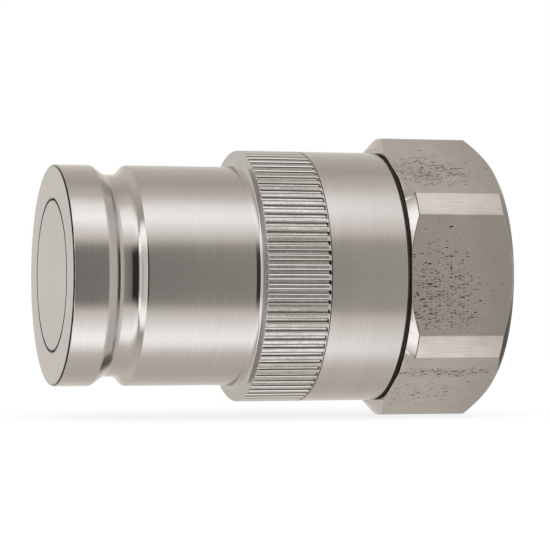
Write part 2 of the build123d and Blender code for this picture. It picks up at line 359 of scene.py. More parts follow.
def dress(piece, nodes, body, material):
    """The piece takes the place of these CAD nodes, moves with the body and wears the material."""
    piece.data.materials.clear()
    piece.data.materials.append(material)
    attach(piece, body)
    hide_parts(*nodes)
    return piece


def knurl_groove_depth(offset):
    """Depth under the collar's surface at this distance from a groove's middle.

    From the land inwards the groove has a bevel, a steep wall and a hollow floor.
    """
    half = KNURL_GROOVE_WIDTH / 2
    floor_edge = half - KNURL_WALL
    places = [0.0, 0.35 * floor_edge, 0.7 * floor_edge, floor_edge, half, half + KNURL_BEVEL]
    depths = [KNURL_DEPTH - KNURL_HOLLOW * (place / floor_edge) ** 2 for place in places[:4]]
    depths += [KNURL_BEVEL_DROP, 0.0]
    samples = [abs(offset) + KNURL_EDGE * share for share in (-1, -0.6, -0.2, 0.2, 0.6, 1)]
    return float(np.mean(np.interp(samples, places, depths)))


def knurl_columns():
    """Angle of each mesh column round the collar, close together at the grooves' edges, and its depth."""
    half_pitch = pi * COLLAR_RADIUS / KNURL_TEETH
    half = KNURL_GROOVE_WIDTH / 2
    corners = (half + KNURL_BEVEL, half, half - KNURL_WALL)
    sides = [corner + KNURL_EDGE * share for corner in corners for share in (1, -1)]
    sides += [0.66 * sides[-1], 0.33 * sides[-1]]
    offsets = [-side for side in sides] + [0.0] + sides[::-1] + [half_pitch]
    angles, depths = [], []
    for tooth in range(KNURL_TEETH):
        middle = 90 - KNURL_FIRST_ANGLE + tooth * 360 / KNURL_TEETH
        for offset in offsets:
            angles.append(middle + degrees(offset / COLLAR_RADIUS))
            depths.append(knurl_groove_depth(offset))
    return np.array(angles), np.array(depths)


def nose_body_mesh():
    """Nose ring, ball groove, knurled collar and everything turned inside them."""
    angles, depths = knurl_columns()
    floor_radius = COLLAR_RADIUS - KNURL_DEPTH
    outline = rounded([
        (0, NOSE_BORE_RADIUS + FACE_CHAMFER, 0.05),
        (0, NOSE_RADIUS - RIM_CHAMFER[1], 0.12),
        (RIM_CHAMFER[0], NOSE_RADIUS, 0.12),
        (FLANGE_END, NOSE_RADIUS, FLANGE_ROUNDING),
        (GROOVE_FLOOR[0], GROOVE_RADIUS, GROOVE_FILLETS[0]),
        (GROOVE_FLOOR[1], GROOVE_RADIUS, GROOVE_FILLETS[1]),
        (GROOVE_END, NOSE_RADIUS, GROOVE_EDGE),
        (COLLAR_START, NOSE_RADIUS, COLLAR_ROOT_FILLET),
        (COLLAR_START, COLLAR_RADIUS - COLLAR_EDGE, 0.05),
        (COLLAR_START + COLLAR_EDGE, COLLAR_RADIUS, 0.05),
        (KNURL_END - KNURL_RUNOUT, COLLAR_RADIUS, 0.04),
        (KNURL_END, COLLAR_RADIUS - RELIEF_DEPTH, 0.03),
        (RELIEF_END - 0.03, COLLAR_RADIUS - RELIEF_DEPTH, 0.02),
        (RELIEF_END, COLLAR_RADIUS, 0.02),
        (COLLAR_END - COLLAR_REAR_EDGE, COLLAR_RADIUS, 0.03),
        (COLLAR_END, COLLAR_RADIUS - COLLAR_REAR_EDGE, 0.03),
        (COLLAR_END, JOINT_THREAD_RADIUS),
        (JOINT_THREAD_START, JOINT_THREAD_RADIUS),
        (JOINT_THREAD_LEAD, JOINT_BORE_RADIUS),
        (SPIDER_START, JOINT_BORE_RADIUS),
        (SPIDER_START, CHAMBER_RADIUS, 0.1),
        (STOP_CONE[1], CHAMBER_RADIUS, 0.1),
        (STOP_CONE[0], NOSE_BORE_RADIUS, 0.1),
        (GLAND[1], NOSE_BORE_RADIUS, 0.06),
        (GLAND[1], GLAND_RADIUS, 0.1),
        (GLAND[0], GLAND_RADIUS, 0.1),
        (GLAND[0], NOSE_BORE_RADIUS, 0.06),
        (FACE_CHAMFER, NOSE_BORE_RADIUS, 0.05),
    ])
    columns = len(angles)
    outlines = np.repeat(outline[None], columns, axis=0)
    x, radius = outline[:, 0], outline[:, 1]
    near_surface = radius > floor_radius - 0.01
    on_knurl = near_surface & (x < KNURL_END - 0.05)
    grooved = np.minimum(radius[None], COLLAR_RADIUS - depths[:, None])
    outlines[:, on_knurl, 1] = grooved[:, on_knurl]
    even_angles = angles[0] + np.arange(columns) * 360 / columns
    row_angles = np.where(on_knurl[None], angles[:, None], even_angles[:, None])
    plain = ~near_surface | (x > KNURL_END + 0.05)
    return spun("nose_body_turned", outlines, row_angles, plain=plain, plain_step=PLAIN_STEP)


def hex_radius(angle):
    """Radius of the hexagon with turned corners, in the direction angle. Corners lie along +Z and -Z."""
    from_corner = (angle + 30) % 60 - 30
    flat = HEX_FLAT_RADIUS / cos(radians(30 - abs(from_corner)))
    nearer = np.logaddexp(-flat / HEX_CORNER_BLEND, -HEX_LAND_RADIUS / HEX_CORNER_BLEND)
    return -HEX_CORNER_BLEND * nearer


def port_thread_radius(x, angle):
    """Radius of the pipe thread's wall, deep at its roots and cut off at its crests."""
    phase = ((HEX_END - x) / PORT_PITCH + angle / 360) % 1
    rise = 1 - abs(2 * phase - 1)
    rise = np.clip((rise - THREAD_FLAT) / (1 - 2 * THREAD_FLAT), 0, 1)
    rise = rise * rise * (3 - 2 * rise)
    depth = PORT_RADIUS - PORT_CREST_RADIUS
    fade = np.clip((x - (HEX_END - PORT_LENGTH)) / PORT_PITCH, 0, 1)
    wall = PORT_CREST_RADIUS + depth * rise * fade
    mouth = PORT_RADIUS + PORT_CHAMFER - (HEX_END - x)
    return max(wall, mouth)


def hex_adapter_mesh():
    """Hexagon with coned ends, spigot with its gland, and the threaded port."""
    land = degrees(acos(HEX_FLAT_RADIUS / HEX_LAND_RADIUS))
    edge = 30 - land
    near_edge = [edge + step for step in (-0.45, -0.2, 0, 0.2, 0.45)]
    half_sector = list(np.linspace(0, near_edge[0], 6)[:-1]) + near_edge
    half_sector += list(np.linspace(near_edge[-1], 30, 20)[1:])
    sector = half_sector + [60 - angle for angle in half_sector[-2:0:-1]]
    angles = [corner * 60 + angle for corner in range(6) for angle in sector]
    thread_rows = np.linspace(HEX_END - PORT_CHAMFER, HEX_END - PORT_LENGTH, THREAD_ROWS)
    cone_front, cone_back = tan(radians(HEX_FRONT_ANGLE)), tan(radians(HEX_BACK_ANGLE))
    drill_end = HEX_END - PORT_LENGTH - PORT_RUNOUT
    outlines = []
    for angle in angles:
        outer = hex_radius(angle)
        front = min(HEX_FRONT_RADIUS, outer - HEX_EDGE_BREAK)
        outside = rounded([
            (SPIGOT_START, ADAPTER_BORE_RADIUS + ADAPTER_ENTRY, 0.1),
            (SPIGOT_START, SPIGOT_RADIUS, 0.15),
            (JOINT_GLAND[0], SPIGOT_RADIUS, 0.08),
            (JOINT_GLAND[0], JOINT_GLAND_RADIUS),
            (JOINT_GLAND[1], JOINT_GLAND_RADIUS),
            (JOINT_GLAND[1], SPIGOT_RADIUS, 0.08),
            (JOINT_THREAD_LEAD, SPIGOT_RADIUS),
            (JOINT_THREAD_START, JOINT_THREAD_RADIUS),
            (HEX_START, JOINT_THREAD_RADIUS),
            (HEX_START, front, 0.05),
            (HEX_START + (outer - front) * cone_front, outer, 0.16),
            (HEX_END - (outer - HEX_BACK_RADIUS) * cone_back, outer, 0.09),
            (HEX_END, HEX_BACK_RADIUS, 0.08),
            (HEX_END, PORT_RADIUS + PORT_CHAMFER, 0.08),
            (HEX_END - 0.5 * PORT_CHAMFER, PORT_RADIUS + 0.5 * PORT_CHAMFER),
        ], closed=False)
        thread = [(x, port_thread_radius(x, angle)) for x in thread_rows]
        inside = rounded([
            (thread_rows[-1] - 0.02, PORT_CREST_RADIUS),
            (drill_end, PORT_CREST_RADIUS, 0.2),
            (drill_end - PORT_CREST_RADIUS + ADAPTER_BORE_RADIUS, ADAPTER_BORE_RADIUS, 0.3),
            (SPIGOT_START + ADAPTER_ENTRY, ADAPTER_BORE_RADIUS, 0.3),
            (SPIGOT_START, ADAPTER_BORE_RADIUS + ADAPTER_ENTRY),
        ], closed=False)[:-1]
        outlines.append(np.concatenate([outside, thread, inside]))
    return spun("hex_adapter_machined", outlines, angles)


def poppet_head_mesh():
    """Flat valve head with its stop cone and guide lugs."""
    pitch = 360 / LUG_COUNT
    half_lug = LUG_ANGLE / 2
    edge = [half_lug - 0.4, half_lug, half_lug + 0.6]
    sector = [-angle for angle in edge[::-1]] + list(np.linspace(2 - half_lug, half_lug - 2, 13)) + edge
    sector += list(np.linspace(half_lug + 4, pitch - half_lug - 4, 25))
    angles = [lug * pitch + angle for lug in range(LUG_COUNT) for angle in sector]
    outlines = []
    for angle in angles:
        from_lug = abs((angle + pitch / 2) % pitch - pitch / 2)
        reach = LUG_RADIUS if from_lug < half_lug else HEAD_BACK_RADIUS
        if abs(from_lug - half_lug) < 0.01:
            reach = LUG_RADIUS - LUG_EDGE_BREAK
        outlines.append(rounded([
            (0, 0),
            (0, POPPET_RADIUS - FACE_CHAMFER, 0.05),
            (FACE_CHAMFER, POPPET_RADIUS, 0.08),
            (POPPET_CONE_START, POPPET_RADIUS, 0.12),
            (POPPET_CONE_START + abs(reach - POPPET_RADIUS), reach, 0.2),
            (HEAD_SHOULDER, reach, 0.15),
            (HEAD_SHOULDER, HUB_RADIUS, 0.1),
            (HEAD_END, HUB_RADIUS, 0.3),
            (HEAD_END, STEM_THREAD_RADIUS, 0.1),
            (HEAD_END - STEM_HOLE_DEPTH, STEM_THREAD_RADIUS),
            (HEAD_END - STEM_HOLE_DEPTH - STEM_HOLE_POINT, 0),
        ], closed=False))
    return spun("poppet_head_faced", outlines, angles, closed=False)


def spring_mesh():
    """Round wire coil with its two ends ground flat."""
    steps, sides = int(SPRING_TURN_STEPS * SPRING_TURNS), SPRING_WIRE_SIDES
    length = SPRING_END - HEAD_SHOULDER
    pitch = length / SPRING_TURNS
    wire = SPRING_WIRE / 2
    lowest, highest = HEAD_SHOULDER + SPRING_CLEARANCE, SPRING_END - SPRING_CLEARANCE
    vertices = []
    for step in range(steps + 1):
        turn = 2 * pi * SPRING_TURNS * step / steps
        x = HEAD_SHOULDER + length * step / steps
        for side in range(sides):
            around = 2 * pi * side / sides
            radius = SPRING_RADIUS + wire * cos(around)
            along = min(max(x + wire * sin(around), lowest), highest)
            vertices.append((along, radius * cos(turn), radius * sin(turn)))
    faces = []
    for step in range(steps):
        for side in range(sides):
            here, ahead = step * sides + side, step * sides + (side + 1) % sides
            faces.append((here, ahead, ahead + sides, here + sides))
    faces.append(tuple(range(sides)))
    faces.append(tuple(range(steps * sides, (steps + 1) * sides)))
    return mesh_object("poppet_spring_coil", vertices, faces)


def seal_mesh(name, node, bulge):
    """Rubber ring in the box of its CAD node."""
    low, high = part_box(node)
    start, end, outer = low.x / MM, high.x / MM, high.z / MM
    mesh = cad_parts[node].data
    inner = min(sqrt(vertex.co.y ** 2 + vertex.co.z ** 2) for vertex in mesh.vertices) / MM
    corner = bulge * min(end - start, outer - inner)
    outline = rounded([
        (start, inner, corner), (start, outer, corner), (end, outer, corner), (end, inner, corner),
    ])
    angles = np.arange(SEAL_COLUMNS) * 360 / SEAL_COLUMNS
    return spun(name, np.repeat(outline[None], SEAL_COLUMNS, axis=0), angles)


# Node trees


class Tree:
    """Short way to place and join shader nodes."""

    def __init__(self, tree):
        self.tree = tree

    def node(self, kind, inputs=(), **settings):
        """New node with these settings. Each input is given a value or joined to another node's output."""
        made = self.tree.nodes.new(kind)
        for key, value in settings.items():
            setattr(made, key, value)
        for key, value in dict(inputs).items():
            socket = made.inputs[key]
            if isinstance(value, bpy.types.NodeSocket):
                self.link(value, socket)
            else:
                socket.default_value = value
        return made

    def link(self, value, socket):
        self.tree.links.new(value, socket)

    def math(self, operation, first, second=0.0, third=0.0, clamp=False):
        made = self.node("ShaderNodeMath", {0: first, 1: second, 2: third}, operation=operation)
        made.use_clamp = clamp
        return made.outputs[0]

    def vector(self, operation, first, *others):
        inputs = dict(enumerate((first, *others)))
        return self.node("ShaderNodeVectorMath", inputs, operation=operation).outputs[0]

    def length(self, vector):
        return self.node("ShaderNodeVectorMath", {0: vector}, operation="LENGTH").outputs["Value"]

    def combine(self, x, y, z=0.0):
        return self.node("ShaderNodeCombineXYZ", {0: x, 1: y, 2: z}).outputs[0]

    def noise(self, place, scale, detail):
        inputs = {"Vector": place, "Scale": scale, "Detail": detail}
        return self.node("ShaderNodeTexNoise", inputs).outputs

    def remap(self, value, low, high, to_low=0.0, to_high=1.0):
        """Smooth step from to_low to to_high as value goes from low to high."""
        made = self.node("ShaderNodeMapRange", {0: value, 1: low, 2: high, 3: to_low, 4: to_high})
        made.interpolation_type = "SMOOTHSTEP"
        return made.outputs[0]

    def group(self, group, inputs=()):
        """Outputs of a shader group that is given these inputs."""
        return self.node("ShaderNodeGroup", inputs, node_tree=group).outputs

    def mix(self, factor, first, second):
        """Value between two plain or varying values."""
        return self.node("ShaderNodeMix", {"Factor": factor, "A": first, "B": second}).outputs[0]

    def mix_colours(self, factor, first, second):
        """Colour between two plain or varying colours."""
        inputs = {"Factor": factor, 6: first, 7: second}
        return self.node("ShaderNodeMix", inputs, data_type="RGBA").outputs[2]

    def places(self):
        """Place in the object's frame, as one vector and as x, y and z."""
        places = self.node("ShaderNodeTexCoord").outputs["Object"]
        return places, self.node("ShaderNodeSeparateXYZ", {0: places}).outputs

    def radius(self, axes):
        """Distance from the X axis."""
        return self.length(self.combine(0.0, axes[1], axes[2]))

    def facing(self):
        """How far the surface faces along X, from 0 on a side to 1 on an end."""
        normal = self.node("ShaderNodeNewGeometry").outputs["Normal"]
        along = self.node("ShaderNodeSeparateXYZ", {0: normal}).outputs[0]
        return self.math("ABSOLUTE", along)


def new_group(name, inputs, outputs):
    """Empty shader group with these inputs {name: value} and outputs [name], which are all numbers."""
    group = bpy.data.node_groups.new(name, "ShaderNodeTree")
    for label, value in inputs.items():
        socket = group.interface.new_socket(label, in_out="INPUT", socket_type="NodeSocketFloat")
        socket.default_value = value
    for label in outputs:
        group.interface.new_socket(label, in_out="OUTPUT", socket_type="NodeSocketFloat")
    tree = Tree(group)
    start = tree.node("NodeGroupInput")
    end = tree.node("NodeGroupOutput")
    return tree, start.outputs, end.inputs


def turned_lines_group():
    """Fine lines that a lathe tool leaves: they follow the axis on a cylinder and the radius on a face."""
    tree, given, made = new_group(
        "turned_lines", {"Line Spacing": 0.25, "Drift": 0.3}, ["Height", "Tone"]
    )
    axes = tree.places()[1]
    radius = tree.radius(axes)
    lines_per_metre = tree.math("DIVIDE", 1 / MM, given["Line Spacing"])
    along = tree.math("MULTIPLY", axes[0], lines_per_metre)
    outward = tree.math("MULTIPLY", radius, lines_per_metre)
    around = tree.math("MULTIPLY", tree.math("ADD", axes[1], axes[2]), LINES_AROUND)
    place = tree.combine(along, outward, around)
    fine = tree.noise(place, 1.0, 3.0)[0]
    coarse = tree.noise(place, 0.17, 1.0)[0]
    tree.link(fine, made["Height"])
    drift = tree.math("MULTIPLY", tree.math("SUBTRACT", coarse, 0.5), given["Drift"])
    tree.link(tree.math("ADD", tree.math("ADD", fine, -0.5), drift), made["Tone"])
    return tree.tree


def smudge_group():
    """Soft uneven patches of handling and oil on a bare metal surface."""
    tree, given, made = new_group("smudges", {"Size": 9.0}, ["Patch"])
    places = tree.node("ShaderNodeTexCoord").outputs["Object"]
    scale = tree.math("DIVIDE", 1 / MM, given["Size"])
    tree.link(tree.math("SUBTRACT", tree.noise(places, scale, 4.0)[0], 0.5), made["Patch"])
    return tree.tree


def drawn_lines_group():
    """Straight lines along the bar that cold drawing leaves on its flats."""
    tree, given, made = new_group("drawn_lines", {"Line Spacing": 0.2}, ["Height", "Tone"])
    places = tree.node("ShaderNodeTexCoord").outputs["Object"]
    across = tree.math("DIVIDE", 1 / MM, given["Line Spacing"])
    place = tree.vector("MULTIPLY", places, tree.combine(LINES_ALONG, across, across))
    noise = tree.noise(place, 1.0, 3.0)[0]
    tree.link(noise, made["Height"])
    tree.link(tree.math("SUBTRACT", noise, 0.5), made["Tone"])
    return tree.tree


def pits_group():
    """Small dark pits drawn out along the bar, crowded in patches and rare elsewhere."""
    tree, given, made = new_group(
        "drawing_pits", {"Pit Length": 0.7, "Pit Width": 0.14, "Stray Share": 0.008}, ["Pit"]
    )
    places, axes = tree.places()
    turn = tree.math("ARCTAN2", tree.math("MULTIPLY", axes[1], -1.0), axes[2])
    along = tree.math("DIVIDE", tree.math("MULTIPLY", axes[0], 1 / MM), given["Pit Length"])
    across = tree.math("DIVIDE", tree.math("MULTIPLY", turn, HEX_FLAT_RADIUS), given["Pit Width"])
    place = tree.combine(along, across)
    bent = tree.vector("MULTIPLY_ADD", tree.noise(place, 0.7, 1.0)["Color"], PIT_WOBBLE, place)
    cells = tree.node("ShaderNodeTexVoronoi", {"Vector": bent, "Scale": 1.0}, voronoi_dimensions="2D")
    chance = tree.node("ShaderNodeSeparateColor", {0: cells.outputs["Color"]}).outputs
    crowd = given["Stray Share"]
    for centre, reach, share in PIT_PATCHES:
        offset = tree.vector("SUBTRACT", places, [value * MM for value in centre])
        offset = tree.vector("DIVIDE", offset, [value * MM for value in reach])
        away = tree.length(offset)
        crowd = tree.math("MAXIMUM", crowd, tree.math("MULTIPLY_ADD", away, -share, share))
    present = tree.math("LESS_THAN", chance[0], crowd)
    size = tree.math("MULTIPLY_ADD", tree.math("POWER", chance[1], 3.0), PIT_GROWTH, PIT_SMALLEST)
    pit = tree.math("MULTIPLY", tree.math("SUBTRACT", size, cells.outputs["Distance"]), present)
    scratch = tree.noise(tree.vector("MULTIPLY", place, SCRATCH_STRETCH), 1.0, 2.0)[0]
    scratch = tree.math("MULTIPLY", tree.remap(scratch, *SCRATCH_NOISE), tree.remap(crowd, 0.0, 0.25))
    tree.link(tree.math("MAXIMUM", tree.remap(pit, 0.0, 0.04), scratch), made["Pit"])
    return tree.tree


def painted_shade_line_group():
    """Dark line of painted shade that lies in a tight turned corner at this place along and out."""
    tree, given, made = new_group("painted_shade_line", {"Along": 0.0, "Out": 18.0, "Width": 0.2}, ["Line"])
    places, axes = tree.places()
    radius = tree.radius(axes)
    along = tree.math("SUBTRACT", tree.math("MULTIPLY", axes[0], 1 / MM), given["Along"])
    out = tree.math("SUBTRACT", tree.math("MULTIPLY", radius, 1 / MM), given["Out"])
    away = tree.length(tree.combine(along, out))
    patchy = tree.noise(places, 900.0, 2.0)[0]
    width = tree.math("MULTIPLY", given["Width"], tree.math("MULTIPLY_ADD", patchy, 0.6, 0.7))
    line = tree.remap(tree.math("DIVIDE", away, width), 0.3, 0.6, 1.0, 0.0)
    tree.link(line, made["Line"])
    return tree.tree


def knurl_painted_light_group():
    """Knurl area, with painted shade on its groove walls and ends and a painted highlight on its groove
    edges.
    """
    tree, given, made = new_group("knurl_painted_light", {}, ["Knurl", "Painted Shade", "Painted Highlight"])
    axes = tree.places()[1]
    radius = tree.radius(axes)
    depth = tree.math("MULTIPLY_ADD", radius, -1 / MM, COLLAR_RADIUS)
    start = tree.remap(axes[0], (COLLAR_START + 0.1) * MM, (COLLAR_START + 0.3) * MM)
    end = tree.remap(axes[0], (KNURL_END - 0.08) * MM, (KNURL_END - 0.02) * MM, 1.0, 0.0)
    outside = tree.remap(depth, 1.0, 1.2, 1.0, 0.0)
    knurl = tree.math("MULTIPLY", tree.math("MULTIPLY", start, end), outside)
    # Painted shade on the groove walls and ends, painted highlight on the bevels beside the lands
    wall_top = tree.remap(depth, KNURL_BEVEL_DROP, KNURL_BEVEL_DROP + 0.03)
    wall_foot = tree.remap(depth, KNURL_DEPTH - KNURL_HOLLOW, KNURL_DEPTH - KNURL_HOLLOW + 0.03, 1.0, 0.0)
    groove_end = tree.remap(axes[0], (KNURL_END - 0.34) * MM, (KNURL_END - 0.26) * MM)
    wall = tree.math("MULTIPLY", wall_top, tree.math("MAXIMUM", wall_foot, groove_end))
    edge = tree.math("SUBTRACT", tree.remap(depth, 0.005, 0.03), wall_top)
    tree.link(knurl, made["Knurl"])
    tree.link(tree.math("MULTIPLY", wall, knurl), made["Painted Shade"])
    tree.link(tree.math("MULTIPLY", edge, knurl, clamp=True), made["Painted Highlight"])
    return tree.tree


TURNED_LINES = turned_lines_group()
SMUDGES = smudge_group()
DRAWN_LINES = drawn_lines_group()
PITS = pits_group()
PAINTED_SHADE_LINE = painted_shade_line_group()
KNURL_PAINTED_LIGHT = knurl_painted_light_group()


def new_material(name):
    material = bpy.data.materials.new(name)
    material.use_nodes = True
    tree = Tree(material.node_tree)
    shader = material.node_tree.nodes["Principled BSDF"]
    return material, tree, shader


def scaled_tone(tree, colour, change):
    """Mix of a darker and a lighter version of the colour, by a value from 0 to 1."""
    dark = [0.8 * value for value in colour] + [1.0]
    light = [min(1.0, 1.2 * value) for value in colour] + [1.0]
    return tree.mix_colours(change, dark, light)


def with_painted_shade_lines(tree, base, painted_shade_lines):
    """Base colour with a dark line of painted shade at each (x, radius, width)."""
    for along, out, width in painted_shade_lines:
        corner = tree.group(PAINTED_SHADE_LINE, {"Along": along, "Out": out, "Width": width})
        base = tree.mix_colours(corner["Line"], base, PAINTED_SHADE_COLOUR)
    return base


def with_bump(tree, shader, height, depth):
    """The shader's surface gets relief: height times depth, which is in millimetres."""
    bump = tree.node("ShaderNodeBump", {"Height": height, "Strength": 1.0, "Distance": depth * MM})
    tree.link(bump.outputs[0], shader.inputs["Normal"])


def with_knurl_wear(tree, marks, line_tone, tone, rough):
    """Tone and roughness with streaks and dents on the knurl, and stronger turned lines behind it."""
    along = tree.places()[1][0]
    streaks = tree.math("MULTIPLY", tree.group(DRAWN_LINES)["Tone"], marks["Knurl"])
    dents = tree.math("MULTIPLY", tree.group(SMUDGES, {"Size": KNURL_DENT_SIZE})["Patch"], marks["Knurl"])
    behind = tree.remap(along, RELIEF_END * MM, (RELIEF_END + 0.1) * MM)
    tone = tree.math("MULTIPLY_ADD", streaks, KNURL_STREAK_TONE, tone)
    tone = tree.math("MULTIPLY_ADD", dents, KNURL_DENT_TONE, tone)
    tone = tree.math("MULTIPLY_ADD", marks["Knurl"], KNURL_TONE, tone)
    tone = tree.math("MULTIPLY_ADD", tree.math("MULTIPLY", behind, line_tone), COLLAR_LINE_TONE, tone)
    rough = tree.math("MULTIPLY_ADD", marks["Knurl"], KNURL_POLISH, rough)
    return tone, rough


def turned_steel(name, colour, roughness, line_spacing, line_depth, line_tone=0.25, painted_shade_lines=(),
                 polished_to=None, knurled=False):
    """Stainless steel as the lathe leaves it, smoother on the part in front of x = polished_to.

    The dark lines of shade painted in its corners are given as (x, radius, width).
    """
    material, tree, shader = new_material(name)
    lines = tree.group(TURNED_LINES, {"Line Spacing": line_spacing})
    patch = tree.group(SMUDGES)["Patch"]
    tone = tree.math("MULTIPLY_ADD", lines["Tone"], line_tone, 0.5)
    tone = tree.math("MULTIPLY_ADD", patch, SMUDGE_TONE, tone)
    rough = tree.math("MULTIPLY_ADD", patch, SMUDGE_ROUGHNESS, roughness)
    rough = tree.math("MULTIPLY_ADD", lines["Tone"], LINE_ROUGHNESS, rough)
    if knurled:
        marks = tree.group(KNURL_PAINTED_LIGHT)
        tone, rough = with_knurl_wear(tree, marks, lines["Tone"], tone, rough)
    base = scaled_tone(tree, colour, tone)
    if knurled:
        # Painted highlight on the groove edges, then painted shade on the groove walls and ends
        base = tree.mix_colours(marks["Painted Highlight"], base, PAINTED_EDGE_HIGHLIGHT)
        base = tree.mix_colours(marks["Painted Shade"], base, PAINTED_WALL_SHADE)
    tree.link(with_painted_shade_lines(tree, base, painted_shade_lines), shader.inputs["Base Color"])
    if polished_to:
        along = tree.places()[1][0]
        polish = tree.remap(along, (polished_to - 0.3) * MM, (polished_to + 0.3) * MM, NOSE_POLISH, 0.0)
        rough = tree.math("ADD", rough, polish)
    tree.link(rough, shader.inputs["Roughness"])
    faced = tree.remap(tree.facing(), *END_FACING)
    tree.link(tree.math("MULTIPLY_ADD", faced, -FACE_SCATTER, 1.0), shader.inputs["Metallic"])
    shader.inputs["Specular Tint"].default_value = EDGE_TINT
    shader.inputs["Anisotropic"].default_value = TURNED_STRETCH
    tangent = tree.node("ShaderNodeTangent", direction_type="RADIAL", axis="X")
    tree.link(tangent.outputs[0], shader.inputs["Tangent"])
    with_bump(tree, shader, lines["Height"], line_depth)
    return material


def drawn_steel(name, colour, roughness, painted_shade_lines):
    """Cold drawn bar: lines along it and dark pits on its flats, with smooth turned corners and ends."""
    material, tree, shader = new_material(name)
    axes = tree.places()[1]
    radius = tree.radius(axes)
    outside = tree.remap(radius, (HEX_FLAT_RADIUS - 0.15) * MM, (HEX_FLAT_RADIUS - 0.05) * MM)
    inside_land = tree.remap(radius, (HEX_LAND_RADIUS - 0.03) * MM, (HEX_LAND_RADIUS - 0.012) * MM, 1.0, 0.0)
    sides = tree.math("MULTIPLY", outside, tree.remap(tree.facing(), *SIDE_FACING, 1.0, 0.0))
    flats = tree.math("MULTIPLY", sides, inside_land)
    land = tree.math("SUBTRACT", sides, flats)
    drawn = tree.group(DRAWN_LINES)
    turned = tree.group(TURNED_LINES)
    patch = tree.group(SMUDGES, {"Size": HEX_SMUDGE_SIZE})["Patch"]
    pit = tree.math("MULTIPLY", tree.group(PITS)["Pit"], flats)
    # Painted light: the sides lighter at the front and darker towards the rear
    front_to_rear_painted_light = tree.remap(axes[0], (HEX_START + 7.0) * MM, (HEX_END - 1.0) * MM, HEX_FRONT_PAINTED_LIGHT, HEX_REAR_PAINTED_SHADE)
    tone = tree.math("MULTIPLY_ADD", tree.mix(sides, turned["Tone"], drawn["Tone"]), HEX_LINE_TONE, 0.5)
    tone = tree.math("MULTIPLY_ADD", patch, HEX_SMUDGE_TONE, tone)
    tone = tree.math("MULTIPLY_ADD", front_to_rear_painted_light, sides, tone)
    tone = tree.math("MULTIPLY_ADD", tree.math("MULTIPLY", land, drawn["Tone"]), HEX_LAND_TONE, tone)
    base = tree.mix_colours(pit, scaled_tone(tree, colour, tone), PIT_SHADE)
    tree.link(with_painted_shade_lines(tree, base, painted_shade_lines), shader.inputs["Base Color"])
    rough = tree.math("MULTIPLY_ADD", sides, HEX_SIDE_ROUGHNESS, roughness)
    rough = tree.math("MULTIPLY_ADD", pit, PIT_ROUGHNESS, rough)
    tree.link(rough, shader.inputs["Roughness"])
    shader.inputs["Metallic"].default_value = 1.0
    shader.inputs["Specular Tint"].default_value = EDGE_TINT
    height = tree.mix(sides, turned["Height"], drawn["Height"])
    height = tree.math("MULTIPLY_ADD", pit, -PIT_DEPTH / HEX_LINE_DEPTH, height)
    with_bump(tree, shader, height, HEX_LINE_DEPTH)
    return material


def moulded(name, colour, roughness):
    """Rubber or plastic with a fine moulded grain."""
    material, tree, shader = new_material(name)
    places = tree.node("ShaderNodeTexCoord").outputs["Object"]
    grain = tree.noise(places, 1 / (GRAIN_SIZE * MM), 3.0)[0]
    tree.link(scaled_tone(tree, colour, grain), shader.inputs["Base Color"])
    rough = tree.math("MULTIPLY_ADD", grain, GRAIN_ROUGHNESS, roughness)
    tree.link(rough, shader.inputs["Roughness"])
    with_bump(tree, shader, grain, GRAIN_DEPTH)
    return material


BRIGHT_STEEL = (0.425, 0.41, 0.398)
BODY_STEEL = turned_steel(
    "turned_body_steel", BRIGHT_STEEL, roughness=0.18, line_spacing=0.3, line_depth=0.0005,
    line_tone=0.35, polished_to=GROOVE_END, knurled=True, painted_shade_lines=[RIM_LINE, BORE_LINE, RELIEF_LINE],
)
VALVE_STEEL = turned_steel(
    "faced_valve_steel", BRIGHT_STEEL, roughness=0.2, line_spacing=0.35, line_depth=0.0005,
    painted_shade_lines=[POPPET_LINE],
)
HEX_STEEL = drawn_steel("drawn_hex_steel", (0.43, 0.41, 0.39), roughness=0.14, painted_shade_lines=[HEX_LINE])
STEM_STEEL = turned_steel(
    "ground_stem_steel", (0.5, 0.49, 0.47), roughness=0.15, line_spacing=0.12, line_depth=0.0005,
)
GUIDE_STEEL = turned_steel(
    "machined_guide_steel", (0.42, 0.41, 0.39), roughness=0.3, line_spacing=0.3, line_depth=0.002,
)
SPRING_STEEL = turned_steel(
    "spring_wire_steel", (0.36, 0.35, 0.34), roughness=0.3, line_spacing=0.4, line_depth=0.001,
)
CLIP_STEEL = turned_steel(
    "stamped_clip_steel", (0.2, 0.19, 0.18), roughness=0.4, line_spacing=0.5, line_depth=0.002,
)
BUSH_BRONZE = turned_steel(
    "bush_bronze", (0.55, 0.36, 0.17), roughness=0.35, line_spacing=0.3, line_depth=0.002,
)
SEAL_RUBBER = moulded("black_seal_rubber", (0.018, 0.018, 0.019), roughness=0.35)
GAP_RUBBER = moulded("gap_rubber", (0.085, 0.072, 0.064), roughness=0.2)
BACKUP_PLASTIC = moulded("white_backup_plastic", (0.78, 0.76, 0.72), roughness=0.45)

# Pieces

dress(nose_body_mesh(), ["nose_body"], "body", BODY_STEEL)
dress(hex_adapter_mesh(), ["hex_adapter"], "body", HEX_STEEL)
dress(poppet_head_mesh(), ["poppet_head"], "poppet", VALVE_STEEL)
dress(seal_mesh("nose_seal_rubber", "nose_seal_oring", SEAL_BULGE), ["nose_seal_oring"], "body",
      SEAL_RUBBER)
dress(seal_mesh("body_joint_seal_rubber", "body_joint_oring", SEAL_BULGE), ["body_joint_oring"], "body",
      SEAL_RUBBER)
dress(seal_mesh("joint_gap_rubber", "joint_gap_ring", GAP_RING_BULGE), ["joint_gap_ring"], "body",
      GAP_RUBBER)
spring = dress(spring_mesh(), ["poppet_spring"], "body", SPRING_STEEL)
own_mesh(spring)

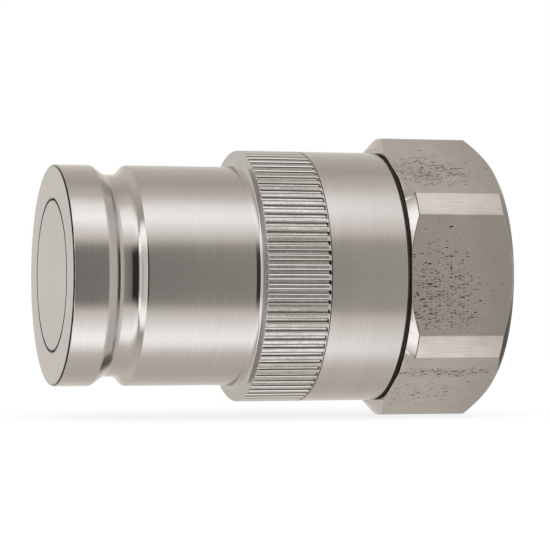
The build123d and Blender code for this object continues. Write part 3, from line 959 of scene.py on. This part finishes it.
KEPT_NODES = {
    "nose_seal_front_backup_ring": BACKUP_PLASTIC,
    "nose_seal_rear_backup_ring": BACKUP_PLASTIC,
    "body_joint_backup_ring": BACKUP_PLASTIC,
    "poppet_stem": STEM_STEEL,
    "stem_washer": GUIDE_STEEL,
    "stem_circlip": CLIP_STEEL,
    "guide_spider": GUIDE_STEEL,
    "guide_bush": BUSH_BRONZE,
}
for node, material in KEPT_NODES.items():
    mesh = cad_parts[node].data
    mesh.materials.clear()
    mesh.materials.append(material)

# Studio

FLOOR_HEIGHT = cad_box[0].z / MM
FLOOR_HALF = 6000.0
FLOOR_GLOW = 0.8
TENT_RADIUS = 900.0
WHITE = (1.0, 1.0, 1.0, 1.0)
DIM_COLOUR = (1.06, 1.0, 0.93, 1.0)
BRIGHTEST = 2.5
WORLD_STRENGTH = 1.02
LAMP_PLACE = (-170.0, 330.0)
LAMP_SIZE = (620.0, 230.0)

# Directions from the tent's middle are unit vectors. Along X: where its panels fade, and where the light of
# its nose side and of its port side takes over
PANEL_FADE = (0.22, 0.42)
NOSE_SIDE = (-0.72, -0.84)
PORT_SIDE = (0.7, 0.9)

# Dim corner behind the port: where it starts and is full along X and Y, and how much darker it is below
# and above these heights
DIM_ALONG = (0.42, 0.56)
DIM_ACROSS = (0.4, 0.55)
DIM_HEIGHT = (-0.15, 0.0)
DIM_CHANGE = (-0.8, -0.4)

# Degrees of height over which the light near eye level gives way to the panels
LEVEL_BAND = (22.0, 36.0)
PORT_SIDE_LIGHT = 0.9
# Brightness of the nose side by its height in degrees, the same above and below
NOSE_SIDE_LIGHT = [(-180, 1.1), (15, 1.15), (20, 2.1), (27, 2.2), (31, 0.6), (60, 0.7), (180, 0.7)]
# Brightness by the angle round the coupler's axis, from the camera's side up and over
ROUND_LIGHT = [(-180, 1.4), (-150, 1.05), (-120, 0.85), (-95, 0.93), (-87, 1.1), (-75, 1.88), (-69, 2.08),
               (-63, 1.95), (-38, 1.12), (-29, 0.56), (-9, 0.42), (9, 0.42), (29, 0.56), (38, 1.12),
               (60, 2.05), (75, 1.74), (88, 1.02), (110, 0.72), (150, 1.08), (180, 1.4)]
# Brightness near eye level by azimuth, from the camera's side towards the port
LEVEL_LIGHT = [(-180, 1.1), (-165, 0.97), (-155, 1.15), (-62, 1.2), (-54, 0.05), (2, 0.05), (6, 0.28),
               (18, 0.56), (19.2, 0.74), (20.4, 0.74), (22, 0.42), (25, 0.85), (105, 0.95), (115, 0.75),
               (136, 0.75), (146, 1.0), (180, 1.1)]


def stage_mesh(name, vertices, faces, material):
    mesh = bpy.data.meshes.new(name)
    mesh.from_pydata([[value * MM for value in vertex] for vertex in vertices], [], faces)
    mesh.materials.append(material)
    piece = bpy.data.objects.new(name, mesh)
    bpy.context.scene.collection.objects.link(piece)
    return piece


def stage_material(name):
    """New material without a shader, its node tree and the socket for its surface."""
    material = bpy.data.materials.new(name)
    material.use_nodes = True
    nodes = material.node_tree.nodes
    nodes.remove(nodes["Principled BSDF"])
    return material, Tree(material.node_tree), nodes["Material Output"].inputs["Surface"]


def floor_material():
    """Pale floor that keeps the object's shadow and looks white where nothing shades it."""
    material, tree, surface = stage_material("pale_floor")
    lit = tree.node("ShaderNodeBsdfDiffuse", {"Color": WHITE})
    glow = tree.node("ShaderNodeEmission", {"Color": WHITE, "Strength": 1.0})
    share = tree.math("MULTIPLY", seen_as_background(tree), FLOOR_GLOW)
    mix = tree.node("ShaderNodeMixShader", {0: share, 1: lit.outputs[0], 2: glow.outputs[0]})
    tree.link(mix.outputs[0], surface)
    return material


def seen_as_background(tree):
    """1 for the rays that show a white background: from the camera, from metal and through glass."""
    path = tree.node("ShaderNodeLightPath").outputs
    seen = tree.math("MAXIMUM", path["Is Camera Ray"], path["Is Glossy Ray"])
    return tree.math("MAXIMUM", seen, path["Is Transmission Ray"])


def shade_ramp(tree, angle, stops):
    """Brightness by an angle from -180 to 180 degrees, straight from stop to stop."""
    place = tree.math("MULTIPLY_ADD", angle, 1 / 360, 0.5)
    ramp = tree.node("ShaderNodeValToRGB", {0: place})
    elements = ramp.color_ramp.elements
    while len(elements) > 1:
        elements.remove(elements[-1])
    for index, (degree, brightness) in enumerate(stops):
        element = elements[0] if index == 0 else elements.new(degree / 360 + 0.5)
        element.position = degree / 360 + 0.5
        element.color = [brightness / BRIGHTEST] * 3 + [1.0]
    return tree.math("MULTIPLY", ramp.outputs[0], BRIGHTEST)


def shell_material():
    """Walls of a light tent: two long soft panels beside the axis, and a dim side where the camera is."""
    material, tree, surface = stage_material("light_tent")
    places = tree.node("ShaderNodeTexCoord").outputs["Object"]
    unit = tree.vector("NORMALIZE", places)
    axes = tree.node("ShaderNodeSeparateXYZ", {0: unit}).outputs
    front = tree.math("MULTIPLY", axes[1], -1.0)
    to_degrees = degrees(1)
    round_axis = tree.math("MULTIPLY", tree.math("ARCTAN2", axes[2], front), to_degrees)
    azimuth = tree.math("MULTIPLY", tree.math("ARCTAN2", axes[0], front), to_degrees)
    height = tree.math("MULTIPLY", tree.math("ABSOLUTE", tree.math("ARCSINE", axes[2])), to_degrees)
    panels = shade_ramp(tree, round_axis, ROUND_LIGHT)
    end_fade = tree.remap(axes[0], *PANEL_FADE, 1.0, 0.2)
    glare = tree.math("MULTIPLY", tree.math("MAXIMUM", tree.math("SUBTRACT", panels, 1.0), 0.0), end_fade)
    panels = tree.math("ADD", tree.math("MINIMUM", panels, 1.0), glare)
    level = shade_ramp(tree, azimuth, LEVEL_LIGHT)
    band = tree.remap(height, *LEVEL_BAND, 1.0, 0.0)
    mixed = tree.mix(band, panels, level)
    nose_end = shade_ramp(tree, height, NOSE_SIDE_LIGHT)
    mixed = tree.mix(tree.remap(axes[0], *NOSE_SIDE), mixed, nose_end)
    mixed = tree.mix(tree.remap(axes[0], *PORT_SIDE), mixed, PORT_SIDE_LIGHT)
    colour = tree.mix_colours(tree.remap(mixed, 1.0, 1.8), DIM_COLOUR, WHITE)
    far_port = tree.math("MULTIPLY", tree.remap(axes[0], *DIM_ALONG), tree.remap(axes[1], *DIM_ACROSS))
    dimming = tree.remap(axes[2], *DIM_HEIGHT, *DIM_CHANGE)
    mixed = tree.math("MULTIPLY", mixed, tree.math("MULTIPLY_ADD", far_port, dimming, 1.0))
    glow = tree.node("ShaderNodeEmission", {"Color": colour, "Strength": mixed})
    tree.link(glow.outputs[0], surface)
    return material


def light_tent():
    """Shell round the object that only reflections see."""
    bpy.ops.mesh.primitive_uv_sphere_add(segments=64, ring_count=32, radius=TENT_RADIUS * MM,
                                         location=(CAMERA_AIM[0] * MM, 0, 0))
    tent = bpy.context.object
    tent.name = "light_tent"
    tent.data.materials.append(shell_material())
    tent.visible_camera = False
    tent.visible_diffuse = False
    tent.visible_transmission = False
    tent.visible_shadow = False


def softbox(name, centre, aim, width, height, radiance):
    """Rectangular lamp that the camera doesn't see, given by the radiance of its face."""
    light = bpy.data.lights.new(name, "AREA")
    light.shape = "RECTANGLE"
    light.size, light.size_y = width * MM, height * MM
    light.energy = radiance * pi * light.size * light.size_y
    lamp = bpy.data.objects.new(name, light)
    bpy.context.scene.collection.objects.link(lamp)
    place = Vector(centre) * MM
    towards = Vector(aim) * MM - place
    lamp.location = place
    lamp.rotation_euler = towards.to_track_quat("-Z", "Y").to_euler()
    lamp.visible_camera = False
    return lamp


def world_light():
    world = bpy.data.worlds.new("studio")
    bpy.context.scene.world = world
    world.use_nodes = True
    world.cycles_visibility.glossy = False
    tree = Tree(world.node_tree)
    background = world.node_tree.nodes["Background"]
    strength = tree.remap(seen_as_background(tree), 0.0, 1.0, WORLD_STRENGTH, 1.0)
    background.inputs["Color"].default_value = WHITE
    tree.link(strength, background.inputs["Strength"])


def make_camera():
    camera = bpy.data.cameras.new("camera")
    camera.lens, camera.sensor_width = CAMERA_LENS, CAMERA_SENSOR
    camera.clip_start, camera.clip_end = CAMERA_NEAR * MM, CAMERA_FAR * MM
    view = bpy.data.objects.new("camera", camera)
    bpy.context.scene.collection.objects.link(view)
    azimuth, elevation = radians(CAMERA_AZIMUTH), radians(CAMERA_ELEVATION)
    back = Vector((sin(azimuth) * cos(elevation), -cos(azimuth) * cos(elevation), sin(elevation)))
    right = Vector((cos(azimuth), sin(azimuth), 0.0))
    up = back.cross(right)
    turn = Matrix((right, up, back)).transposed().to_4x4()
    view.matrix_world = Matrix.Translation((Vector(CAMERA_AIM) + back * CAMERA_DISTANCE) * MM) @ turn
    bpy.context.scene.camera = view


ground = stage_mesh(
    "floor",
    [(-FLOOR_HALF, -FLOOR_HALF, FLOOR_HEIGHT), (FLOOR_HALF, -FLOOR_HALF, FLOOR_HEIGHT),
     (FLOOR_HALF, FLOOR_HALF, FLOOR_HEIGHT), (-FLOOR_HALF, FLOOR_HALF, FLOOR_HEIGHT)],
    [(0, 1, 2, 3)],
    floor_material(),
)
ground.visible_glossy = False
light_tent()
middle_x = CAMERA_AIM[0]
lamp = softbox("upper_lamp", (middle_x, *LAMP_PLACE), (middle_x, 0, 0), *LAMP_SIZE, radiance=1.0)
lamp.visible_glossy = False
world_light()
make_camera()
bpy.context.scene.view_settings.view_transform = "Standard"
